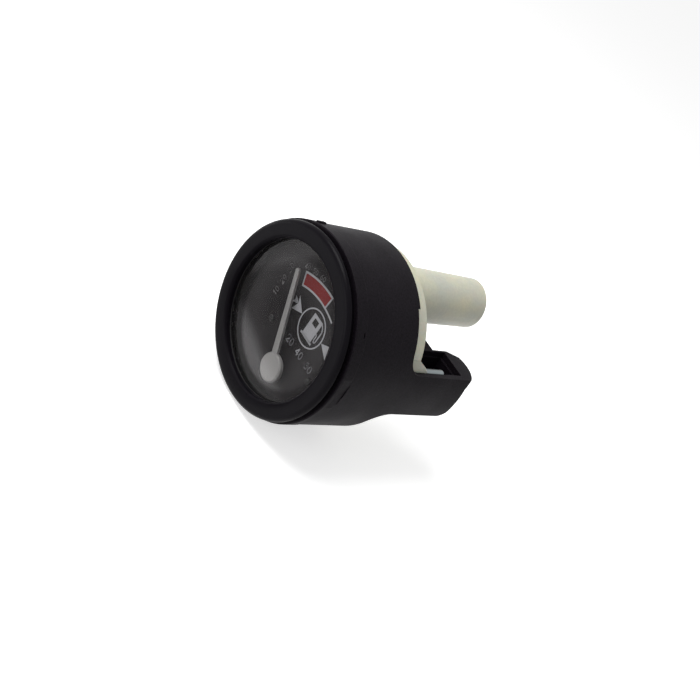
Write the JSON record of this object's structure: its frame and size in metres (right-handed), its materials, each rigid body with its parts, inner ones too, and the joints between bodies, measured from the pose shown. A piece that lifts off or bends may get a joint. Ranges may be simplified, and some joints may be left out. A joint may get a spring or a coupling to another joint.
{
  "type": "panel pressure gauge",
  "caption": "Round panel-mounted fuel pressure gauge with a black bezel and dial, white pointer, cream rear case with side stem and a black clamp sleeve with one rear leg.",
  "frame": {"origin": "on the gauge's axis, at the bezel's rear face, which is the front of the panel", "axes": "+Y along the gauge's axis to the rear (the dial faces -Y), +Z the dial's upright, +X its right-hand side"},
  "size_m": [0.0612, 0.0725, 0.0612],
  "materials": {
    "black_gloss": "satin-gloss moulded black plastic",
    "clear_lens": "clear polished",
    "black_rubber": "matt",
    "black_ring": "matt black",
    "dial_black": "matt black with white and red print",
    "dark_steel": "blackened",
    "cream_plastic": "smooth moulded cream plastic",
    "black_matt": "fine-textured moulded black plastic",
    "zinc_steel": "bright zinc",
    "pointer_white": "satin white paint",
    "steel": "bright turned steel",
    "brass": "cut brass",
    "brass_sheet": "rolled brass sheet",
    "socket_brass": "machined brass",
    "bronze": "drawn bronze"
  },
  "bodies": {
    "case": {"bezel": "black_gloss", "lens": "clear_lens", "lens_gasket": "black_rubber", "dial_ring": "black_ring", "dial_plate": "dial_black", "dial_screws": "dark_steel", "case_cup": "cream_plastic", "case_seal": "black_rubber", "clamp_sleeve": "black_matt", "locating_pins": "zinc_steel", "front_plate": "brass_sheet", "rear_plate": "brass_sheet", "plate_pillars": "brass", "pillar_screws": "steel", "socket_screws": "steel", "pressure_socket": "socket_brass", "bourdon_tube": "bronze", "tube_tip": "brass"},
    "pointer_body": {"pointer": "pointer_white", "pointer_arbor": "steel", "pinion": "brass"},
    "sector_body": {"sector_gear": "brass", "sector_arbor": "steel", "link_pin": "steel"},
    "link_body": {"link": "brass_sheet"}
  },
  "joints": [
    {"name": "pointer_pivot", "type": "hinge", "parent": "case", "child": "pointer_body", "pos_m": [0.0043, 0.01, -0.0151], "axis": [0, 1, 0], "range_deg": [-33, 43], "stiffness_Nm_per_rad": 0.002},
    {"name": "sector_pivot", "type": "hinge", "parent": "case", "child": "sector_body", "pos_m": [0.0043, 0.0107, -0.0043], "axis": [0, 1, 0], "range_deg": [-8.6, 6.6]},
    {"name": "link_pivot", "type": "hinge", "parent": "sector_body", "child": "link_body", "pos_m": [0.00611, 0.012, 0.00246], "axis": [0, 1, 0], "range_deg": [-6.6, 8.6]}
  ],
  "couplings": [
    {"joint": "sector_pivot", "follows": "pointer_pivot", "ratio": -0.2},
    {"joint": "link_pivot", "follows": "pointer_pivot", "ratio": 0.2}
  ]
}
